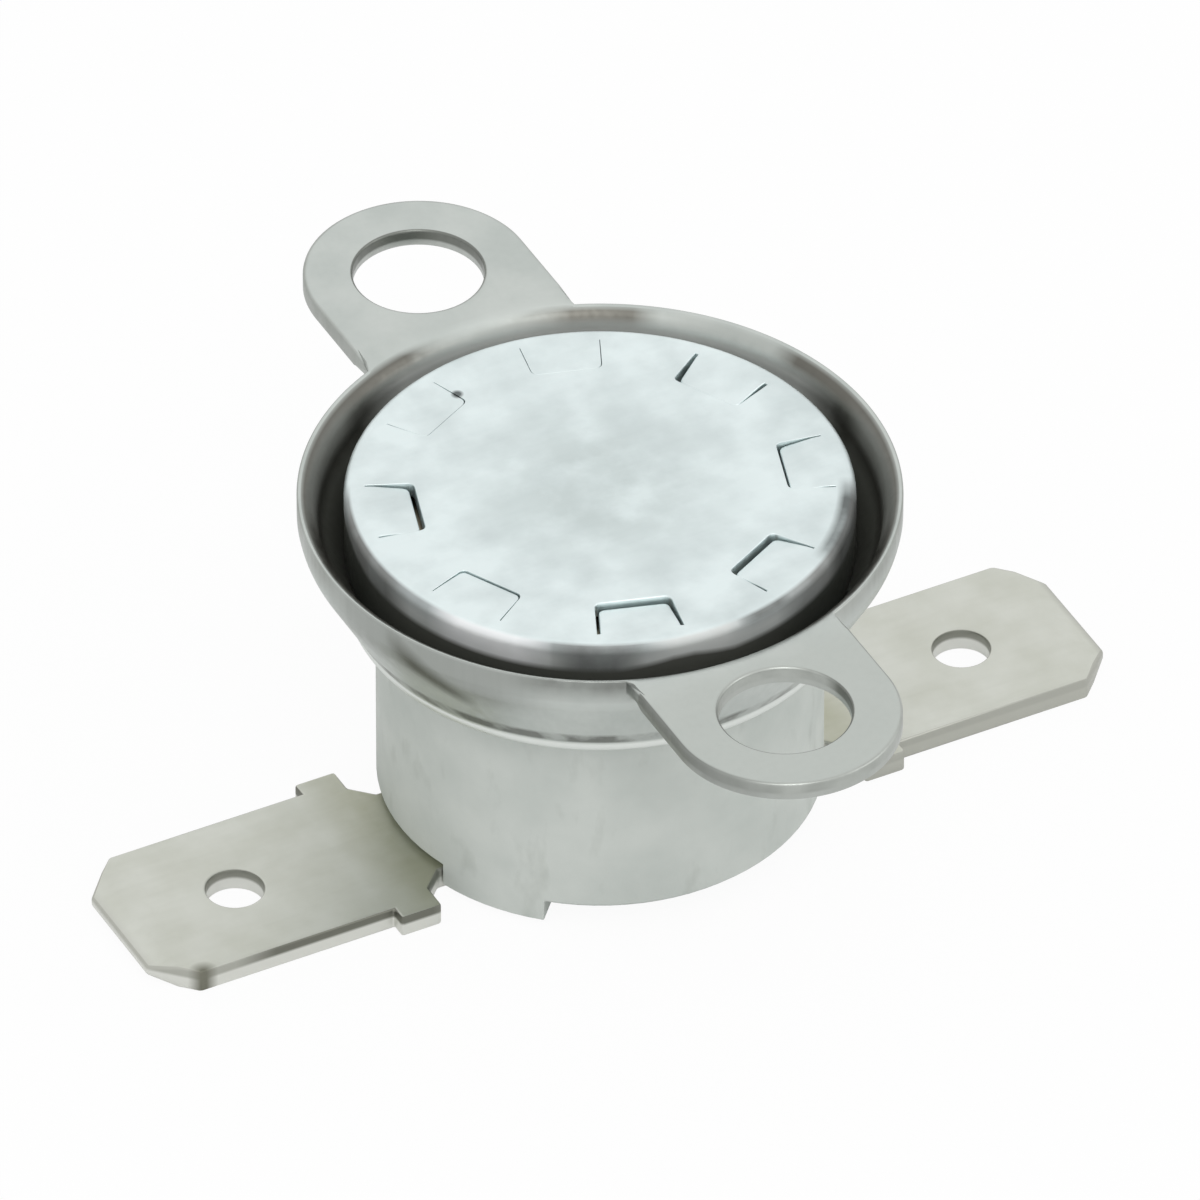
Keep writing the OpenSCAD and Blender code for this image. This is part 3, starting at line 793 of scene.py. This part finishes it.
def bracket_inside(graph):
    """Painted dark reflection on the mouth's shoulder, left out in two zones where it catches the light,
    painted shade down in the cup, and painted light on the inner wall between them.
    """
    height = graph.axis("Z")
    inside = graph.inward()
    # Painted dark reflection on the mouth's shoulder, weaker in two zones where it catches the light
    lit_shoulder = graph.either(graph.beside(LIT_SHOULDER_SIDE), graph.times(graph.beside(BRIGHTER_SHOULDER_SIDE), 0.8))
    shoulder = graph.times(
        graph.ramp(inside, *SHOULDER_LEAN), graph.over(graph.unsigned(graph.axis("Y")), SHOULDER_Y)
    )
    graph.paint(graph.times(shoulder, graph.ramp(lit_shoulder, 0, 1, 1.0, 0.25)), tone(108, 107, 101))
    # Painted shade down inside the cup, left off on the lit side
    deep = graph.times(graph.over(height, SHADE_INSIDE_Z), graph.ramp(inside, *DEEP_LEAN))
    shaded_inside = graph.ramp(graph.beside(UNSHADED_INSIDE_SIDE), 0, 1, 1.0, 0.1)
    graph.paint(graph.times(deep, shaded_inside), tone(110, 112, 105), metallic=0.4)
    # Painted light on the upper inner wall on the side that faces the light
    lit_inside = graph.times(graph.over(height, LIT_INSIDE_Z), graph.beside(LIT_INSIDE_SIDE))
    lit_inside = graph.times(lit_inside, graph.ramp(inside, *DEEP_LEAN), 0.8)
    graph.paint(lit_inside, tone(214, 216, 212), metallic=0.1)
    # Painted light: a lighter matte grey on the inner wall at two sides
    wall = graph.times(graph.over(height, LIT_WALL_Z), graph.ramp(inside, *WALL_LEAN))
    lit_wall = graph.either(*[graph.beside(zone) for zone in LIT_WALL_SIDES])
    graph.paint(graph.times(wall, lit_wall, 0.85), tone(134, 136, 131), metallic=0.15)


def bracket_outside(graph):
    """A grey band of painted shade under the mouth, a slanting painted dark reflection, painted shade in
    the crease and a painted highlight on the bead.
    """
    height = graph.axis("Z")
    outside = graph.ramp(graph.inward(), *OUTSIDE_LEAN)
    # A mottled grey band of painted shade under the mouth, lighter and darker by zone
    upper = graph.times(graph.over(height, CUP_SHADE_Z), outside)
    cup_shade = graph.blend(graph.beside(PALER_CUP_SIDE), tone(160, 164, 159), tone(178, 182, 177))
    cup_shade = graph.blend(graph.beside(DARKER_CUP_SIDE), cup_shade, tone(136, 139, 135))
    graph.paint(graph.times(upper, graph.ramp(graph.grain(1.3), 0.3, 0.6, 0.6, 1.0)), cup_shade)
    # Painted shade: the cup's wall darker on one side, down to a lower height than the band under the mouth
    dim_cup = graph.times(graph.beside(DIM_CUP_SIDE), graph.over(height, DIM_CUP_Z), outside)
    graph.paint(dim_cup, tone(164, 168, 164))

    # A slanting painted dark reflection on the cup
    lean = graph.maths("ADD", graph.turn(), graph.times(height, WEDGE_REFLECTION_SLANT / MM))
    off_line = graph.unsigned(graph.maths("ADD", lean, -WEDGE_REFLECTION_TURN))
    ends = graph.times(graph.beside(WEDGE_REFLECTION_SIDE), outside)
    graph.paint(graph.times(graph.ramp(off_line, *WEDGE_REFLECTION_FADE), ends), tone(100, 102, 94))

    # Painted shade in dashes along the crease above the bead
    dashes = graph.ramp(graph.grain(0.9, detail=3.0), 0.4, 0.6, 0.25, 1.0)
    crease = graph.times(graph.over(height, CREASE_SHADE_TOP_Z), graph.over(height, CREASE_SHADE_FOOT_Z))
    graph.paint(graph.times(crease, outside, dashes), tone(122, 125, 120))
    # A painted highlight on the bead
    graph.paint(graph.times(graph.over(height, BEAD_HIGHLIGHT_Z), outside), tone(222, 226, 222))


def bracket_metal():
    """Plated steel sheet, with painted shade that makes the front ear a little darker."""
    graph = metal("bracket_steel", tone(198, 203, 199), tone(188, 194, 190), 0.38, DRAWN_UPRIGHT)
    # Painted shade: the front ear a little darker
    graph.paint(graph.over(graph.axis("Y"), SHADED_EAR_Y, 0.0, 0.8), tone(186, 191, 186))
    bracket_edges(graph)
    bracket_inside(graph)
    bracket_outside(graph)
    return graph.material


# Painted shade, light and reflections on the tabs, and a stain, in millimetres
TAB_REFLECTION_X = (9.1, 7.4)
RIGHT_X = (-0.1, 0.1)
TAB_SHADED_EDGE = 0.48
TAB_SHADED_EDGE_FADE = 0.05
DARKEST_EDGE_X = -10.3
DARKEST_EDGE_REACH = (4.0, 2.6)
LOCK_HOLE_WALL = (1.15, 0.2)
# A stain at a corner of the left tab: its place, half width and fade
STAIN = (-15.4, -3.15, 0.1, 0.4)


def terminal_metal():
    """Nickel plated strip with painted light and shade: sheared edges in two zones, lighter on the left
    tab, the upper zone painted dark as shade; hole walls painted dark above and light below; an olive
    painted reflection of the body towards it.
    """
    graph = metal("terminal_nickel", tone(207, 209, 201), tone(197, 199, 189), 0.4, ROLLED_ALONG_X)
    along = graph.axis("X")
    # An olive painted reflection of the body on the tabs, towards it
    painted_reflection = graph.over(graph.unsigned(along), TAB_REFLECTION_X)
    graph.paint(graph.times(painted_reflection, graph.ramp(graph.grain(1.2), 0.3, 0.6, 0.5, 0.9)), tone(176, 177, 158))
    # Sheared edges: painted lighter on the left tab than on the right, as painted light
    sheared = graph.ramp(graph.levelness(), *EDGE_TILT)
    graph.paint(sheared, graph.blend(graph.over(along, RIGHT_X), tone(222, 223, 217), tone(188, 189, 181)))
    # Painted shade on the upper zone of the sheared edges, darkest round x = -10.3 on the left tab
    upper = graph.above(FLOOR_Z + TAB_SHADED_EDGE, TAB_SHADED_EDGE_FADE)
    darkest_edge = graph.over(graph.unsigned(graph.maths("ADD", along, -DARKEST_EDGE_X * MM)), DARKEST_EDGE_REACH)
    edge_shade = graph.blend(darkest_edge, tone(178, 179, 171), tone(120, 121, 112))
    graph.paint(graph.times(sheared, upper), edge_shade)
    # Hole walls: painted shade in the upper zone, painted light below it
    hole_wall_shading = graph.blend(upper, tone(230, 231, 226), tone(156, 157, 149))
    for side in (1, -1):
        hole = graph.spot(LOCK_HOLE_X * side, 0, *LOCK_HOLE_WALL)
        graph.paint(graph.times(hole, sheared), hole_wall_shading)
    graph.paint(graph.spot(*STAIN), tone(126, 126, 114))
    return graph.material


def ceramic():
    """Pressed ceramic: matte and finely pitted, with faint clouds and smears of rubbed-off metal."""
    graph = Graph("ceramic", tone(203, 208, 203), 0.0, 0.62, 0.35)
    cloud = graph.grain(2.6, detail=6.0)
    graph.paint(graph.ramp(cloud, 0.35, 0.68), tone(191, 197, 192), metallic=0.0)
    smear = graph.ramp(graph.grain(0.9, stretch=(1, 1, 0.45)), 0.58, 0.75)
    graph.paint(graph.times(smear, 0.35), tone(176, 181, 175), metallic=1.0)
    graph.feed(graph.shader.inputs["Roughness"], graph.ramp(cloud, 0.3, 0.7, 0.55, 0.7))
    graph.bump((graph.grain(1.2, detail=3.0), 0.3, 0.03), (graph.grain(0.14, detail=6.0), 0.5, 0.012))
    return graph.material


# Slot, light and dark tone, and roughness
PLAIN_METALS = (
    ("disc_bimetal", tone(190, 180, 160), tone(165, 155, 138), 0.35),
    ("spring_copper", tone(220, 165, 125), tone(196, 142, 104), 0.3),
    ("contact_silver", tone(232, 232, 228), tone(214, 214, 210), 0.28),
    ("brass", tone(220, 196, 128), tone(198, 174, 108), 0.32),
    ("rivet_nickel", tone(200, 200, 190), tone(182, 182, 172), 0.36),
)


def make_materials():
    MATERIALS["cap_aluminium"] = cap_metal()
    MATERIALS["bracket_steel"] = bracket_metal()
    MATERIALS["ceramic"] = ceramic()
    MATERIALS["terminal_nickel"] = terminal_metal()
    for slot, light, dark, roughness in PLAIN_METALS:
        MATERIALS[slot] = metal(slot, light, dark, roughness, ROLLED_ALONG_X).material


# Camera at the photograph's angle
def make_camera():
    azimuth, elevation = math.radians(-27.573), math.radians(38.927)
    distance_mm, above_mm = 868.9, -3.516
    sensor_mm, frame_pixels, pixels_per_mm = 36.0, 1200, 32.469
    flat = math.cos(elevation)
    back = Vector((math.sin(azimuth) * flat, -math.cos(azimuth) * flat, math.sin(elevation)))
    right = Vector((math.cos(azimuth), math.sin(azimuth), 0))
    up = back.cross(right)
    data = bpy.data.cameras.new("camera")
    data.sensor_width = sensor_mm
    data.lens = pixels_per_mm * distance_mm / frame_pixels * sensor_mm
    data.clip_start = 0.01
    data.clip_end = 20
    camera = bpy.data.objects.new("camera", data)
    camera.location = (back * distance_mm + up * above_mm) * MM
    camera.rotation_mode = "QUATERNION"
    camera.rotation_quaternion = back.to_track_quat("Z", "Y")
    bpy.context.scene.collection.objects.link(camera)
    bpy.context.scene.camera = camera


# Studio
def area_lamp(name, place, size, power):
    """A round lamp that points at the part."""
    data = bpy.data.lights.new(name, "AREA")
    data.shape = "DISK"
    data.size = size
    data.energy = power
    lamp = bpy.data.objects.new(name, data)
    lamp.location = place
    lamp.rotation_mode = "QUATERNION"
    lamp.rotation_quaternion = Vector(place).to_track_quat("Z", "Y")
    bpy.context.scene.collection.objects.link(lamp)


def ray_share(tree, diffuse, camera, mirror):
    """A value by kind of ray: camera rays, mirror or glass rays, and the rest."""
    path = tree.nodes.new("ShaderNodeLightPath")
    shares = {"Is Transmission Ray": mirror, "Is Glossy Ray": mirror, "Is Camera Ray": camera}
    value = diffuse
    for name, share in shares.items():
        mix = tree.nodes.new("ShaderNodeMix")
        tree.links.new(path.outputs[name], mix.inputs["Factor"])
        if isinstance(value, float):
            mix.inputs["A"].default_value = value
        else:
            tree.links.new(value, mix.inputs["A"])
        mix.inputs["B"].default_value = share
        value = mix.outputs["Result"]
    return value


def make_world():
    """An even white room: a little dimmer for the light that it throws on the part."""
    world = bpy.data.worlds.new("studio")
    world.use_nodes = True
    bpy.context.scene.world = world
    tree = world.node_tree
    background = tree.nodes["Background"]
    background.inputs["Color"].default_value = (1, 1, 1, 1)
    strength = ray_share(tree, diffuse=0.8, camera=1.0, mirror=1.0)
    tree.links.new(strength, background.inputs["Strength"])


def floor_paper():
    """White paper that nearly glows for the camera and keeps the part's shadow."""
    paper = bpy.data.materials.new("floor_white")
    paper.use_nodes = True
    tree = paper.node_tree
    tree.nodes.remove(tree.nodes["Principled BSDF"])
    matte = tree.nodes.new("ShaderNodeBsdfDiffuse")
    matte.inputs["Color"].default_value = (0.92, 0.92, 0.92, 1)
    glow = tree.nodes.new("ShaderNodeEmission")
    glow.inputs["Strength"].default_value = 1.0
    mix = tree.nodes.new("ShaderNodeMixShader")
    tree.links.new(ray_share(tree, diffuse=0.0, camera=0.94, mirror=0.3), mix.inputs["Fac"])
    tree.links.new(matte.outputs["BSDF"], mix.inputs[1])
    tree.links.new(glow.outputs["Emission"], mix.inputs[2])
    tree.links.new(mix.outputs["Shader"], tree.nodes["Material Output"].inputs["Surface"])
    return paper


def make_floor():
    """A level floor that the tabs lie on."""
    reach = 6.0
    corners = [(-reach, -reach), (reach, -reach), (reach, reach), (-reach, reach)]
    mesh = bpy.data.meshes.new("floor")
    mesh.from_pydata([(x, y, FLOOR_Z * MM) for x, y in corners], [], [(0, 1, 2, 3)])
    mesh.materials.append(floor_paper())
    floor = bpy.data.objects.new("floor", mesh)
    bpy.context.scene.collection.objects.link(floor)


def make_studio():
    make_world()
    make_floor()
    area_lamp("key", place=(-0.06, -0.18, 0.28), size=0.16, power=0.2)
    area_lamp("fill", place=(0.22, -0.16, 0.14), size=0.16, power=0.08)


# The object
def dressed(piece, node, slot):
    """Puts a piece in the place of its CAD node."""
    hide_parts(node)
    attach(piece, "housing")
    piece.data.materials.append(MATERIALS[slot])


def make_object():
    dressed(sensing_cap(), "sensing_cap", "cap_aluminium")
    dressed(mounting_bracket(), "mounting_bracket", "bracket_steel")
    dressed(softened("base", "base_body", BASE_EDGE), "base", "ceramic")
    for side in ("left", "right"):
        tab, rivet = f"terminal_{side}", f"terminal_rivet_{side}"
        dressed(softened(tab, f"tab_{side}", TAB_EDGE), tab, "terminal_nickel")
        dressed(softened(rivet, f"rivet_{side}", RIVET_EDGE), rivet, "rivet_nickel")
    for entry in frame["record"]["subparts"]:
        node = frame["nodes"][entry["node"]]
        if not node.hide_render:
            node.data.materials.clear()
            node.data.materials.append(MATERIALS[entry["material_slot"]])


make_camera()
make_materials()
make_studio()
make_object()
